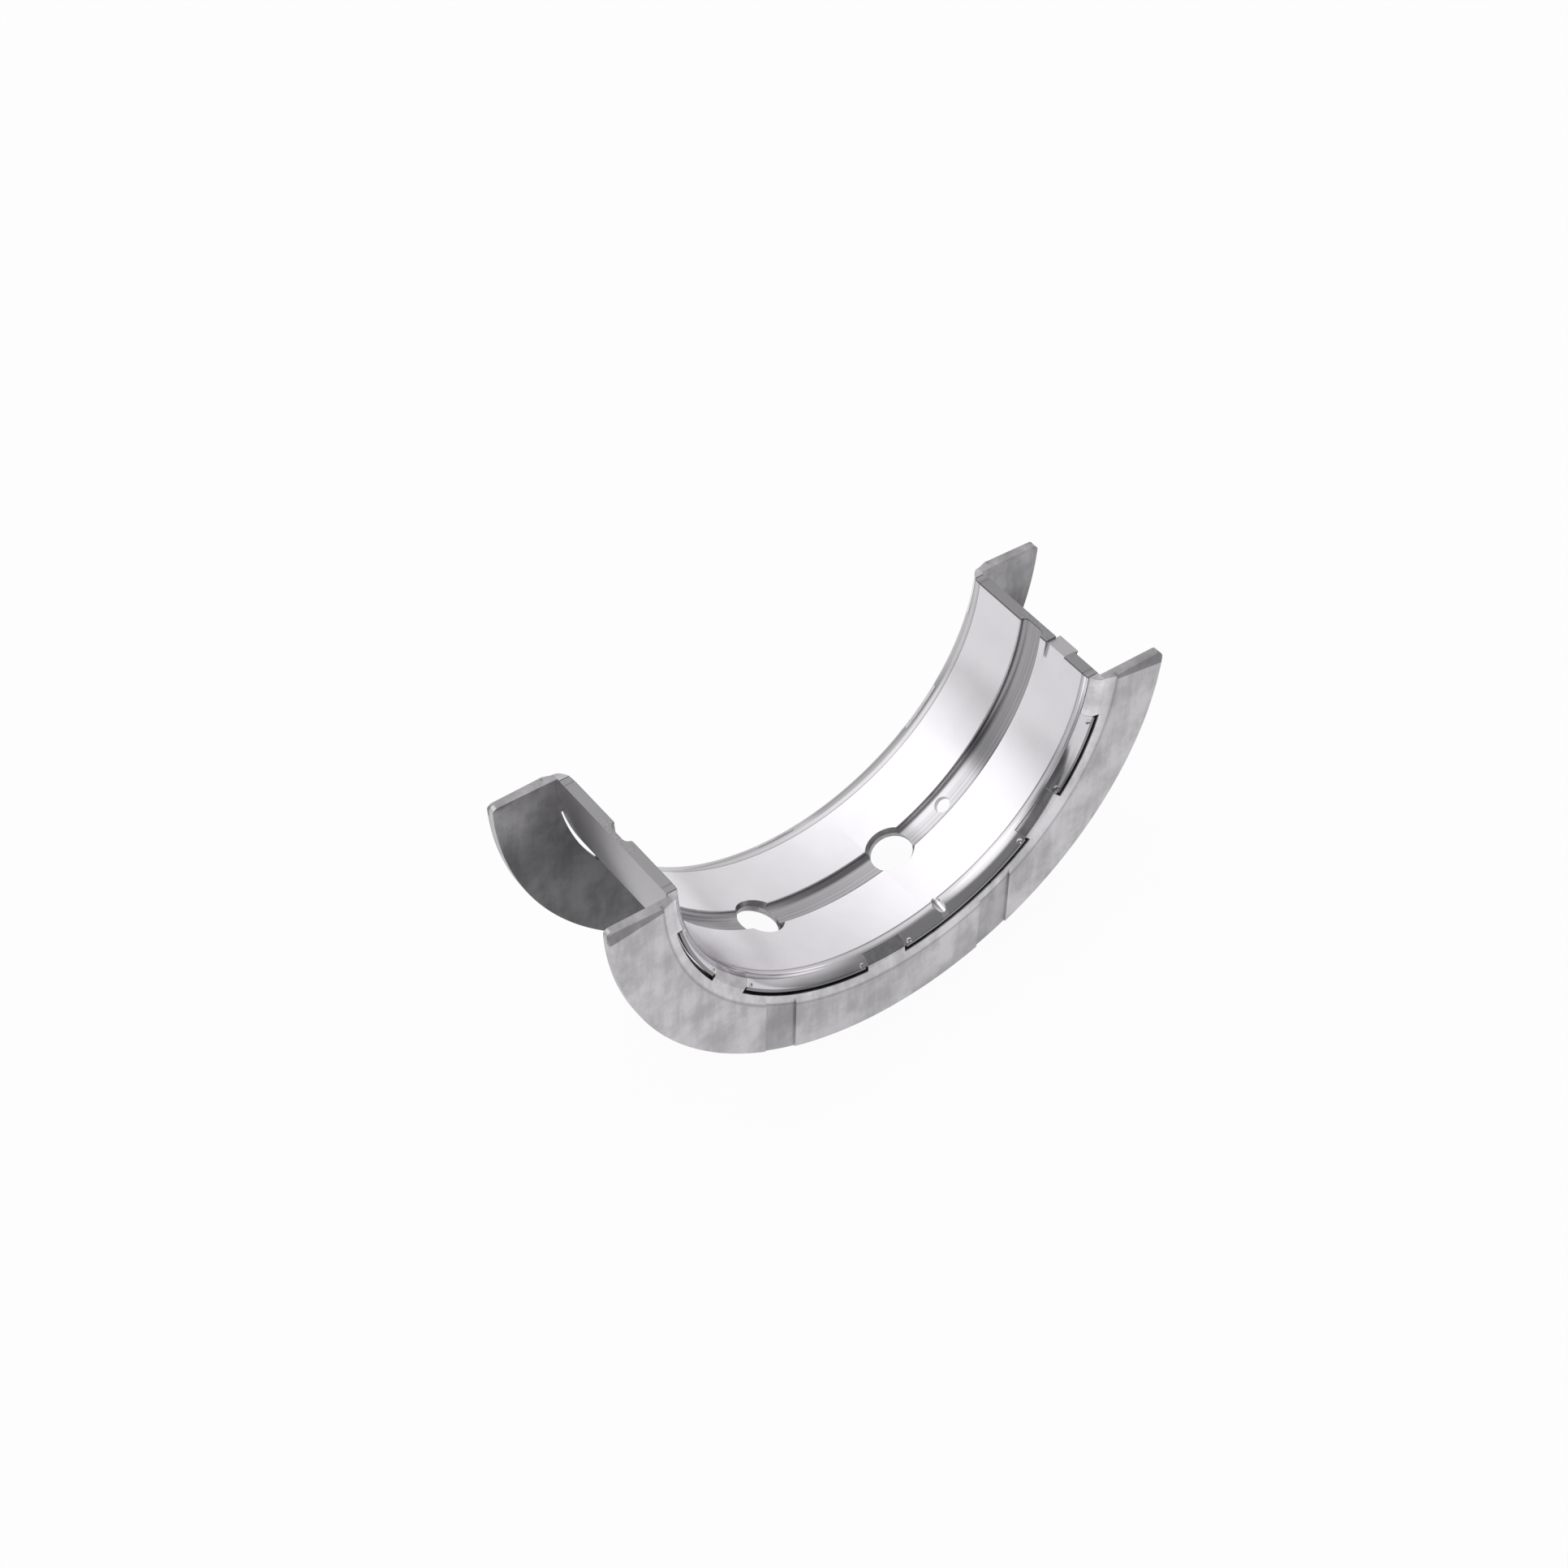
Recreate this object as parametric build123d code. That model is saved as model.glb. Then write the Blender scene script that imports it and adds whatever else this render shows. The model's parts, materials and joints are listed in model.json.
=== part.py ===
from build123d import *
import os
from math import asin, atan2, cos, degrees, hypot, radians, sin, sqrt, tan

# Half of a flanged crankshaft main bearing, lying open side up.
# The bore runs along Y. The origin is the centre of the bore, midway between the thrust faces.
# Angles are measured round the bore from its lowest point, positive towards +X.
# The shell is in its free state: a little wider than when it is clamped in its housing.

# Shell
bore_radius = 42.5
wall = 2.3
shell_width = 34.6
joint_drop = 2.0            # the joint faces lie this far below the centre of the bore
joint_edge_chamfer = 0.3

# Rolled-over ends of the bore, and the narrow band beside them where the lining stops
end_round_length = 2.65
end_round_depth = 1.9
end_round_bulge = 0.26      # how far the round stands out from its chord
lining_band_width = 0.7
lining_band_depth = 0.06
lining_step_width = 0.25

# Oil groove round the middle of the bore
groove_width = 5.2
groove_depth = 1.25
groove_wall_lean = 12       # degrees that its walls lean outwards
groove_fillet = 0.7

# Oil holes through the groove
oil_hole_diameter = 7.9
oil_hole_angles = (18.9, -20.2)
oil_hole_sink_width = 0.5
oil_hole_sink_depth = 0.9
oil_hole_back_chamfer = 0.35
pilot_hole_diameter = 3.0
pilot_hole_angle = 35.3

# Nick across the rolled-over front end, left by handling
nick_angle = 17.5
nick_radius = 2.0
nick_depth = 0.35

# Locating lug, pressed outward at the +X joint face
lug_width = 4.8
lug_centre = -6.7
lug_height = 1.0
lug_set_down = 0.85
lug_recess_depth = 0.95
lug_length = 5.0

# Thrust flanges
overall_width = 36.2
flange_thickness = 2.0
flange_radius = 57.5
flange_slit = 0.6           # open gap between the back of the shell and the flange
flange_edge_chamfer = 0.35
flange_corner_chamfer = 0.9
inner_bevel_width = 1.65

# Straight oil slots across each thrust face
slot_centre = 23.2
slot_width = 6.4
slot_depth = 0.45

# Run-in ramps at the ends of each thrust face
ramp_height = 2.3
ramp_depth = 0.45

# Tabs of the flange, and the notches in the shell that hold them
middle_tab_width = 8.0
side_tab_width = 9.4
side_tab_angle = 49.1
end_tab_height = 8.0
tab_back_step = 0.5         # the tabs are this much thicker than the flange, on its back
tab_side_clearance = 0.1
tab_end_gap = 0.35
root_slot_width = 0.5       # short slots beside the tabs, open to the slit
root_slot_length = 1.1

# Chisel marks that clinch the shell over the tabs, one beside each notch edge
mark_length = 1.2
mark_depth = 0.4
mark_offset = 1.1           # from the side of the tab
mark_inset = 0.7            # from the end of the shell

# Values worked out from the sizes above
back_radius = bore_radius + wall
joint_height = -joint_drop
shell_end = shell_width / 2
round_start = shell_end - end_round_length
band_start = round_start - lining_band_width
band_radius = bore_radius + lining_band_depth
lip_radius = band_radius + end_round_depth
thrust_face = overall_width / 2
flange_back = thrust_face - flange_thickness
flange_bore = back_radius + flange_slit
bevel_radius = flange_bore + inner_bevel_width
tab_tip = flange_back - tab_back_step
notch_wall = tab_tip - tab_end_gap
end_tab_side = joint_height - end_tab_height
reach = 2 * flange_radius   # length of cutting tools that pass right through


def turned(*lines):
    """Turn a closed outline, drawn as (radius, y) in the XY plane, round the bore's axis."""
    return revolve(make_face(lines), Axis.Y, 360)


def ring(inner, outer, y_from, y_to):
    """Plain ring round the bore's axis."""
    corners = [(inner, y_from), (inner, y_to), (outer, y_to), (outer, y_from)]
    return turned(Polyline(*corners, close=True))


def prism(points, y_from, y_to):
    """Push a closed outline of (x, z) points along Y."""
    outline = make_face(Polyline(*[(x, y_from, z) for x, z in points], close=True))
    return extrude(outline, y_to - y_from, dir=(0, 1, 0))


def block(x_from, x_to, y_from, y_to, z_from, z_to):
    """Box between two opposite corners."""
    size = (x_to - x_from, y_to - y_from, z_to - z_from)
    middle = ((x_from + x_to) / 2, (y_from + y_to) / 2, (z_from + z_to) / 2)
    return Pos(*middle) * Box(*size)


def around(angle):
    """Turn something made at the lowest point of the bore to its angle."""
    return Rot(0, -angle, 0)


def above_joint():
    """Everything above the joint faces, which a half shell leaves out."""
    return block(-reach, reach, -reach, reach, joint_height, reach)


def round_radius(y):
    """Radius of the rolled-over end at a distance y from the middle."""
    chord = hypot(end_round_depth, end_round_length)
    curve = (chord**2 / 4 + end_round_bulge**2) / (2 * end_round_bulge)
    stand_off = curve - end_round_bulge
    centre_radius = band_radius + end_round_depth / 2 + stand_off * end_round_length / chord
    centre_y = round_start + end_round_length / 2 - stand_off * end_round_depth / chord
    return centre_radius - sqrt(curve**2 - (y - centre_y) ** 2)


def rolled_end(y_from):
    """Arc of the rolled-over end, from a distance y to the lip of the shell."""
    middle = (y_from + shell_end) / 2
    points = [(round_radius(y), y) for y in (y_from, middle, shell_end)]
    return ThreePointArc(*points)


def tab_windows(clearance, y_from, y_to):
    """Outlines of the five tabs seen along the bore, widened by a clearance."""
    inner = bore_radius - wall
    outer = flange_bore + wall
    half_middle = middle_tab_width / 2 + clearance
    half_side = side_tab_width / 2 + clearance
    windows = [block(-half_middle, half_middle, y_from, y_to, -outer, -inner)]
    for side in (1, -1):
        window = block(-half_side, half_side, y_from, y_to, -outer, -inner)
        windows.append(around(side * side_tab_angle) * window)
        edges = sorted((side * bore_radius / 2, side * outer))
        low = end_tab_side - clearance
        windows.append(block(*edges, y_from, y_to, low, joint_height + clearance))
    return windows


def tab_edge_angles(radius, offset):
    """Angles of points that lie beside the tabs, an offset out from their sides."""
    middle = degrees(asin((middle_tab_width / 2 + offset) / radius))
    side = degrees(asin((side_tab_width / 2 + offset) / radius))
    end = 90 - degrees(asin((offset - end_tab_side) / radius))
    one_side = [middle, side_tab_angle - side, side_tab_angle + side, end]
    return one_side + [-angle for angle in one_side]


def root_slots(y_from, y_to):
    """Short slots that lead from the slit along each side of each tab, where the shell meets it."""
    half = root_slot_width / 2
    slot = block(-half, half, y_from, y_to, -flange_bore, -flange_bore + root_slot_length)
    return [around(angle) * slot for angle in tab_edge_angles(back_radius, half)]


def clinch_marks():
    """V-shaped chisel marks in both rolled-over ends of the shell, beside its notches."""
    lean = degrees(atan2(end_round_depth, end_round_length))
    edge = mark_depth * sqrt(2)
    radius = round_radius(shell_end - mark_inset)
    marks = []
    for end in (1, -1):
        chisel = Rot(-end * lean, 0, 0) * Rot(0, 45, 0) * Box(edge, mark_length, edge)
        chisel = Pos(0, end * (shell_end - mark_inset), -radius) * chisel
        marks += [around(angle) * chisel for angle in tab_edge_angles(radius, mark_offset)]
    return marks


def nick():
    """Shallow nick that starts at the bore's edge and runs out at the lip."""
    rise = end_round_depth - nick_depth
    lean = atan2(rise, end_round_length)
    low = (band_radius + nick_depth + lip_radius) / 2
    y = -(round_start + shell_end) / 2 - nick_radius * sin(lean)
    tool = Cylinder(nick_radius, 2 * end_round_length)
    tool = Pos(0, y, -low + nick_radius * cos(lean)) * Rot(90 + degrees(lean), 0, 0) * tool
    return around(nick_angle) * tool


def shell_section():
    """Closed outline of the shell's wall, the same at both ends."""
    lean = tan(radians(groove_wall_lean))
    corners = [
        (bore_radius + groove_depth, 0),
        (bore_radius + groove_depth, groove_width / 2 - groove_depth * lean),
        (bore_radius, groove_width / 2),
    ]
    groove = FilletPolyline(*corners, radius=groove_fillet)
    land = Polyline(
        (bore_radius, groove_width / 2),
        (bore_radius, band_start - lining_step_width),
        (band_radius, band_start),
        (band_radius, round_start),
    )
    back = Polyline((lip_radius, shell_end), (back_radius, shell_end), (back_radius, 0))
    half = [groove, land, rolled_end(round_start), back]
    return half + [mirror(line, Plane.XZ) for line in half]


def oil_holes():
    """Radial oil holes, the large ones countersunk from the bore and broken at the back."""
    radius = oil_hole_diameter / 2
    drill = Pos(0, 0, -back_radius) * Cylinder(radius, 4 * wall)
    sink_radius = radius + wall * oil_hole_sink_width / oil_hole_sink_depth
    sink_middle = wall / 2 - bore_radius - oil_hole_sink_depth
    sink = Pos(0, 0, sink_middle) * Cone(radius, sink_radius, wall)
    break_middle = oil_hole_back_chamfer - back_radius - wall / 2
    back_break = Pos(0, 0, break_middle) * Cone(radius + wall, radius, wall)
    tools = [drill, sink, back_break]
    large = [around(angle) * tool for angle in oil_hole_angles for tool in tools]
    pilot = Pos(0, 0, -back_radius) * Cylinder(pilot_hole_diameter / 2, 4 * wall)
    return large + [around(pilot_hole_angle) * pilot]


def locating_lug():
    """Outer bulge, bore-side recess and set-down end of the pressed lug."""
    y_from = lug_centre - lug_width / 2
    y_to = lug_centre + lug_width / 2
    top = joint_height - lug_set_down
    foot = joint_height - lug_length
    back_foot = sqrt(back_radius**2 - foot**2)
    bore_foot = sqrt(bore_radius**2 - foot**2)
    back_top = sqrt(back_radius**2 - joint_height**2)
    bore_top = sqrt(bore_radius**2 - joint_height**2)
    bulge_outline = [
        (back_top - wall / 2, top),
        (back_top + lug_height, top),
        (back_foot, foot),
        (back_foot - wall / 2, foot),
    ]
    recess_outline = [
        (bore_top - wall, joint_height + wall),
        (bore_top + lug_recess_depth, joint_height + wall),
        (bore_top + lug_recess_depth, joint_height),
        (bore_foot, foot),
        (bore_foot - wall, foot),
    ]
    bulge = prism(bulge_outline, y_from, y_to)
    recess = prism(recess_outline, y_from, y_to)
    set_down = block(bore_top - wall, back_top + wall, y_from, y_to, top, joint_height + wall)
    return bulge, recess, set_down


def joint_chamfers():
    """Broken edges where the bore meets the joint faces."""
    edge = sqrt(bore_radius**2 - joint_height**2)
    tools = []
    for side in (1, -1):
        outline = [
            (side * (edge + joint_edge_chamfer), joint_height),
            (side * (edge - wall), joint_height - joint_edge_chamfer - wall),
            (side * (edge - wall), joint_height),
        ]
        tools.append(prism(outline, -shell_end, shell_end))
    return tools


def make_shell():
    """Half shell with its groove, holes, notches and locating lug."""
    shell = turned(*shell_section()) - above_joint()
    shell -= oil_holes()
    notches = []
    for y_from, y_to in ((notch_wall, shell_end + wall), (-shell_end - wall, -notch_wall)):
        notches += tab_windows(tab_side_clearance, y_from, y_to)
        notches += root_slots(y_from, y_to)
    shell = shell - notches - clinch_marks() - nick()
    bulge, recess, set_down = locating_lug()
    shell = shell + bulge - recess - set_down
    shell -= joint_chamfers()
    return shell


def oil_slots():
    """Straight slots down the thrust face, one each side."""
    floor = thrust_face - slot_depth
    slots = []
    for side in (1, -1):
        edges = sorted((side * slot_centre - slot_width / 2, side * slot_centre + slot_width / 2))
        slots.append(block(*edges, floor, thrust_face + wall, -reach, 0))
    return slots


def run_in_ramps():
    """Slope that relieves the thrust face towards the joint faces, on both ends at once."""
    outline = [
        (thrust_face, joint_height - ramp_height),
        (thrust_face - ramp_depth, joint_height),
        (thrust_face + wall, joint_height),
        (thrust_face + wall, joint_height - ramp_height),
    ]
    face = make_face(Polyline(*[(-reach, y, z) for y, z in outline], close=True))
    return extrude(face, 2 * reach, dir=(1, 0, 0))


def corner_cuts():
    """Corners cut off where the rim of the flange meets its end faces."""
    rim = sqrt(flange_radius**2 - joint_height**2)
    cuts = []
    for side in (1, -1):
        outline = [
            (side * (rim - flange_corner_chamfer), joint_height),
            (side * (rim + wall), joint_height),
            (side * (rim + wall), joint_height - flange_corner_chamfer - wall),
        ]
        cuts.append(prism(outline, tab_tip, thrust_face + wall))
    return cuts


def make_flange():
    """Rear thrust flange, its face towards +Y, with the tabs that hook into the shell."""
    rim = Polyline(
        (lip_radius, shell_end),
        (bevel_radius, thrust_face),
        (flange_radius - flange_edge_chamfer, thrust_face),
        (flange_radius, thrust_face - flange_edge_chamfer),
        (flange_radius, flange_back),
        (flange_bore, flange_back),
        (flange_bore, tab_tip),
        (round_radius(tab_tip), tab_tip),
    )
    washer = turned(rolled_end(tab_tip), rim)
    y_from = tab_tip - wall
    y_to = thrust_face + wall
    between_tabs = ring(bore_radius - wall, flange_bore, y_from, y_to)
    between_tabs -= tab_windows(0, y_from - wall, y_to + wall)
    flange = washer - above_joint() - between_tabs
    return flange - oil_slots() - run_in_ramps() - corner_cuts()


os.makedirs("parts", exist_ok=True)

shell = make_shell()
rear_flange = make_flange()
front_flange = mirror(rear_flange, Plane.XZ)

export_step(shell, "parts/bearing_shell.step")
export_step(front_flange, "parts/front_thrust_flange.step")
export_step(rear_flange, "parts/rear_thrust_flange.step")
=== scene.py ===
import json
from math import asin, atan2, cos, degrees, pi, radians, sin, sqrt, tan

import bmesh
import bpy
from mathutils import Matrix, Vector


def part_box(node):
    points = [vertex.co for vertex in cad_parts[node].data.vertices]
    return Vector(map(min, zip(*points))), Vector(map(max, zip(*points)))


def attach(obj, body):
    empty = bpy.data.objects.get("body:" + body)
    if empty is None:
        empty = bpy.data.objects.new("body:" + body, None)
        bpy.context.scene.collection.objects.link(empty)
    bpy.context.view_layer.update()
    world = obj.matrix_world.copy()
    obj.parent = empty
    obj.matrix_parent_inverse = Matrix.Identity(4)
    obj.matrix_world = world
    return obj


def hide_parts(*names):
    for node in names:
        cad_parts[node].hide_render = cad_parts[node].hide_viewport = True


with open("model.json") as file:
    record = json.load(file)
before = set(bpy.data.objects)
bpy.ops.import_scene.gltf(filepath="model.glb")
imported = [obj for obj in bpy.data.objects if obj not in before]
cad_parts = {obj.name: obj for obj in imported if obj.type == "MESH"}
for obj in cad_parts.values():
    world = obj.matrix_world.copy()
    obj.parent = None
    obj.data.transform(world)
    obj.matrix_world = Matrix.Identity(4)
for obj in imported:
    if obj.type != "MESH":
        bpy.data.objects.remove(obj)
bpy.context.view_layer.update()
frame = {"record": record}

# A flanged main bearing half, open side up. The bore runs along Y, and everything is in metres.
# Angles run round the bore from its lowest point, positive towards +X.
mm = 0.001
shellLow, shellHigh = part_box("bearing_shell")
flangeLow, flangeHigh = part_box("rear_thrust_flange")
boreRadius = frame["record"]["mounts"][0]["dims"]["r_mm"] * mm
backRadius = -shellLow.z
wall = backRadius - boreRadius
shellEnd = shellHigh.y
jointHeight = shellHigh.z
flangeRadius = -flangeLow.z
thrustFace = flangeHigh.y
tabTip = flangeLow.y
reach = 2 * flangeRadius  # clear of the part on every side


# Node trees

class Wire:
    # an output of a node, on which + - * and so on add Math nodes
    def __init__(self, node, output=0):
        self.node = node
        self.socket = node.outputs[output] if node.outputs else None

    def math(self, operation, *values):
        sockets = dict(zip(("Value", "Value_001"), values))
        return addNode(self.node.id_data, "ShaderNodeMath", {"operation": operation}, sockets)

    def __add__(self, other):
        return self.math("ADD", self, other)

    def __sub__(self, other):
        return self.math("SUBTRACT", self, other)

    def __rsub__(self, other):
        return self.math("SUBTRACT", other, self)

    def __mul__(self, other):
        return self.math("MULTIPLY", self, other)

    def __pow__(self, other):
        return self.math("POWER", self, other)

    def __abs__(self):
        return self.math("ABSOLUTE", self)

    __radd__ = __add__
    __rmul__ = __mul__

    def clamped(self):
        return self.math("MAXIMUM", self.math("MINIMUM", self, 1.0), 0.0)

    def step(self, start, end):
        # 0 before start, 1 after end, smooth between them
        settings = {"interpolation_type": "SMOOTHSTEP"}
        sockets = {"Value": self, "From Min": start, "From Max": end}
        return addNode(self.node.id_data, "ShaderNodeMapRange", settings, sockets)

    def between(self, start, full, fade, end):
        # 1 from full to fade, 0 before start and after end
        return self.step(start, full) * (1 - self.step(fade, end))

    def out(self, name):
        return Wire(self.node, name)


def addNode(tree, kind, settings, sockets, output=0):
    # sockets go by identifier, and take a value, a wire or a list of wires
    node = tree.nodes.new(kind)
    for name, value in settings.items():
        setattr(node, name, value)
    for key, value in sockets.items():
        socket = next(s for s in node.inputs if s.identifier == key)
        for item in value if isinstance(value, list) else [value]:
            if isinstance(item, Wire):
                tree.links.new(item.socket, socket)
            else:
                socket.default_value = item
    return Wire(node, output)


def newTree(name, inputs):
    # a Geometry Nodes tree that also takes a mesh and a material
    tree = bpy.data.node_groups.new(name, "GeometryNodeTree")
    inputs = {"Geometry": "Geometry", **inputs, "Material": "Material"}
    for label, kind in inputs.items():
        tree.interface.new_socket(label, in_out="INPUT", socket_type="NodeSocket" + kind)
    tree.interface.new_socket("Geometry", in_out="OUTPUT", socket_type="NodeSocketGeometry")
    start = addNode(tree, "NodeGroupInput", {}, {})
    return tree, {label: start.out(label) for label in inputs}


def endTree(tree, geometry, material):
    real = addNode(tree, "GeometryNodeRealizeInstances", {}, {"Geometry": geometry})
    painted = addNode(tree, "GeometryNodeSetMaterial", {}, {
        "Geometry": real, "Material": material})
    result = next(item for item in tree.interface.items_tree if item.in_out == "OUTPUT")
    addNode(tree, "NodeGroupOutput", {}, {result.identifier: painted})


# Turns a section, drawn as (radius less the path's radius, y), right round the bore's axis
turnTree, given = newTree("turned ring", {"Path Radius": "Float", "Steps": "Int"})
section = addNode(turnTree, "GeometryNodeMeshToCurve", {}, {"Mesh": given["Geometry"]})
path = addNode(turnTree, "GeometryNodeCurvePrimitiveCircle", {}, {
    "Resolution": given["Steps"], "Radius": given["Path Radius"]})
path = addNode(turnTree, "GeometryNodeSetCurveNormal", {"mode": "Z_UP"}, {"Curve": path})
swept = addNode(turnTree, "GeometryNodeCurveToMesh", {}, {
    "Curve": path, "Profile Curve": section})
laid = addNode(turnTree, "GeometryNodeTransform", {}, {
    "Geometry": swept, "Rotation": (pi / 2, 0, 0)})
endTree(turnTree, laid, given["Material"])

# Sets one tool, made at the lowest point of the bore, at each angle that the places carry
ringTree, given = newTree("row round the bore", {"Places": "Object", "Both Ends": "Bool"})
places = addNode(ringTree, "GeometryNodeObjectInfo", {}, {"Object": given["Places"]}, "Geometry")
angle = addNode(ringTree, "GeometryNodeInputNamedAttribute", {"data_type": "FLOAT"}, {
    "Name": "angle"})
turn = addNode(ringTree, "ShaderNodeCombineXYZ", {}, {"Y": angle * -1})
mirrored = addNode(ringTree, "GeometryNodeTransform", {}, {
    "Geometry": given["Geometry"], "Scale": (1, -1, 1)})
mirrored = addNode(ringTree, "GeometryNodeFlipFaces", {}, {"Mesh": mirrored})
rear, front = (
    addNode(ringTree, "GeometryNodeInstanceOnPoints", {}, {
        "Points": places, "Instance": tool, "Rotation": turn})
    for tool in (given["Geometry"], mirrored))
front = addNode(ringTree, "GeometryNodeSwitch", {"input_type": "GEOMETRY"}, {
    "Switch": given["Both Ends"], "True": front})
joined = addNode(ringTree, "GeometryNodeJoinGeometry", {}, {"Geometry": [rear, front]})
endTree(ringTree, joined, given["Material"])
print("node trees made")


# Meshes

ringSteps = 720


def meshObject(name, mesh):
    obj = bpy.data.objects.new(name, mesh)
    bpy.context.scene.collection.objects.link(obj)
    return obj


def bmeshObject(name, bm):
    bmesh.ops.recalc_face_normals(bm, faces=bm.faces)
    mesh = bpy.data.meshes.new(name)
    bm.to_mesh(mesh)
    bm.free()
    return meshObject(name, mesh)


def lofted(name, *outlines):
    # closed outlines of (x, y, z) points, as many in each, joined in turn and capped
    bm = bmesh.new()
    loops = [[bm.verts.new(point) for point in outline] for outline in outlines]
    bm.faces.new(loops[0])
    bm.faces.new(loops[-1])
    for low, high in zip(loops, loops[1:]):
        for i in range(len(low)):
            bm.faces.new((low[i - 1], low[i], high[i], high[i - 1]))
    return bmeshObject(name, bm)


def prism(name, outline, yFrom, yTo, slant=0, slantFrom=0):
    # a closed outline of (x, z) points pushed along Y, whose sides may widen towards smaller x
    return lofted(name, *(
        [(x, y + out * slant * max(slantFrom - x, 0), z) for x, z in outline]
        for y, out in ((yFrom, -1), (yTo, 1))))


def block(name, xFrom, xTo, yFrom, yTo, zFrom, zTo):
    outline = [(xFrom, zFrom), (xTo, zFrom), (xTo, zTo), (xFrom, zTo)]
    return prism(name, outline, yFrom, yTo)


def roundTool(name, points, segments=96):
    # a round cutter that stands upright, from (radius, z) pairs
    turns = [2 * pi * i / segments for i in range(segments)]
    return lofted(name, *(
        [(radius * cos(t), radius * sin(t), z) for t in turns] for radius, z in points))


def arcPoints(centre, radius, start, end, steps):
    turns = [start + (end - start) * i / steps for i in range(steps + 1)]
    return [(centre[0] + radius * cos(t), centre[1] + radius * sin(t)) for t in turns]


def finished(obj):
    # the evaluated result as a plain mesh, with no modifiers left
    graph = bpy.context.evaluated_depsgraph_get()
    mesh = bpy.data.meshes.new_from_object(obj.evaluated_get(graph))
    obj.modifiers.clear()
    old = obj.data
    obj.data = mesh
    bpy.data.meshes.remove(old)
    return obj


def withTree(obj, tree, values):
    # runs a Geometry Nodes tree on an object, with its inputs given by name
    modifier = obj.modifiers.new(tree.name, "NODES")
    modifier.node_group = tree
    for item in tree.interface.items_tree:
        if item.in_out == "INPUT" and item.name in values:
            modifier[item.identifier] = values[item.name]
    return finished(obj)


def turned(name, points, metal):
    # a ring from a closed section of (radius, y) points
    bm = bmesh.new()
    verts = [bm.verts.new((radius - boreRadius, y, 0)) for radius, y in points]
    for i, vert in enumerate(verts):
        bm.edges.new((vert, verts[i - 1]))
    obj = withTree(bmeshObject(name, bm), turnTree, {
        "Path Radius": boreRadius, "Steps": ringSteps, "Material": metal})
    bm = bmesh.new()
    bm.from_mesh(obj.data)
    bmesh.ops.recalc_face_normals(bm, faces=bm.faces)
    bm.to_mesh(obj.data)
    bm.free()
    return obj


def row(tool, angles, bothEnds=False):
    # a tool of the rear end repeated at angles in degrees, and at the front end too if asked
    mesh = bpy.data.meshes.new("places")
    mesh.from_pydata([(0, 0, 0)] * len(angles), [], [])
    values = mesh.attributes.new("angle", "FLOAT", "POINT").data
    values.foreach_set("value", [radians(angle) for angle in angles])
    marks = meshObject("places", mesh)
    withTree(tool, ringTree, {"Places": marks, "Both Ends": bothEnds})
    bpy.data.objects.remove(marks)
    return tool


def carve(body, tools, operation="DIFFERENCE"):
    for tool in tools:
        boolean = body.modifiers.new("carve", "BOOLEAN")
        boolean.solver = "MANIFOLD"
        boolean.operation = operation
        boolean.object = tool
    finished(body)
    for tool in tools:
        bpy.data.objects.remove(tool)
    return body


def cleaned(mesh):
    # merges the points, less than 2 micrometres apart, that the cuts leave along some edges
    bm = bmesh.new()
    bm.from_mesh(mesh)
    bmesh.ops.remove_doubles(bm, verts=bm.verts, dist=0.002 * mm)
    bmesh.ops.dissolve_degenerate(bm, edges=bm.edges, dist=0.001 * mm)
    bm.to_mesh(mesh)
    bm.free()


def aboveJoint():
    return block("above joint", -reach, reach, -reach, reach, jointHeight, reach)


# Materials

metalTint = {"Red": 1.0, "Green": 0.976, "Blue": 1.012}


def emptyMaterial(name):
    material = bpy.data.materials.new(name)
    material.use_nodes = True
    material.node_tree.nodes.clear()
    return material, material.node_tree


def objectPlace(tree):
    # the place on the piece, its coordinates, and its distances from the axis and the middle
    place = addNode(tree, "ShaderNodeTexCoord", {}, {}, "Object")
    x = addNode(tree, "ShaderNodeSeparateXYZ", {}, {"Vector": place})
    y, z = x.out("Y"), x.out("Z")
    return place, x, y, z, (x * x + z * z) ** 0.5, abs(y)


def noise(place, scale, detail, roughness=0.5):
    return addNode(place.node.id_data, "ShaderNodeTexNoise", {}, {
        "Vector": place, "Scale": scale, "Detail": detail, "Roughness": roughness})


def zoned(look, first, zones):
    # the value named first, changed to each further one inside its zone
    value = look[first]
    for name, zone in zones.items():
        value = value + zone * (look[name] - value)
    return value


def closeMetal(tree, look, tone, rough, height):
    # worn edges, a fine relief and the shader
    worn = addNode(tree, "ShaderNodeBevel", {"samples": 6}, {"Radius": look["edgeRadius"]})
    skin = addNode(tree, "ShaderNodeBump", {}, {
        "Strength": look["reliefStrength"], "Distance": look["reliefDepth"],
        "Height": height, "Normal": worn})
    colour = addNode(tree, "ShaderNodeCombineColor", {}, {
        channel: tone * share for channel, share in metalTint.items()})
    shader = addNode(tree, "ShaderNodeBsdfPrincipled", {}, {
        "Base Color": colour, "Metallic": 1.0, "Roughness": rough, "Normal": skin})
    addNode(tree, "ShaderNodeOutputMaterial", {}, {"Surface": shader})


# What the shell and the flanges share: the tabs, the notches that hold them, and the slits

tabs = {
    "middleWidth": 8.0 * mm,
    "sideWidth": 9.4 * mm,
    "sideAngle": 49.1,
    "endHeight": 8.0 * mm,
    "sideClearance": 0.02 * mm,
    "endGap": 0.12 * mm,
    "slotWidth": 0.5 * mm,
    "slotLength": 1.1 * mm,
    "slit": 0.6 * mm,
    "flangeThickness": 2.0 * mm,
}
flangeBore = backRadius + tabs["slit"]
flangeBack = thrustFace - tabs["flangeThickness"]
endTabSide = jointHeight - tabs["endHeight"]
notchWall = tabTip - tabs["endGap"]


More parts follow.
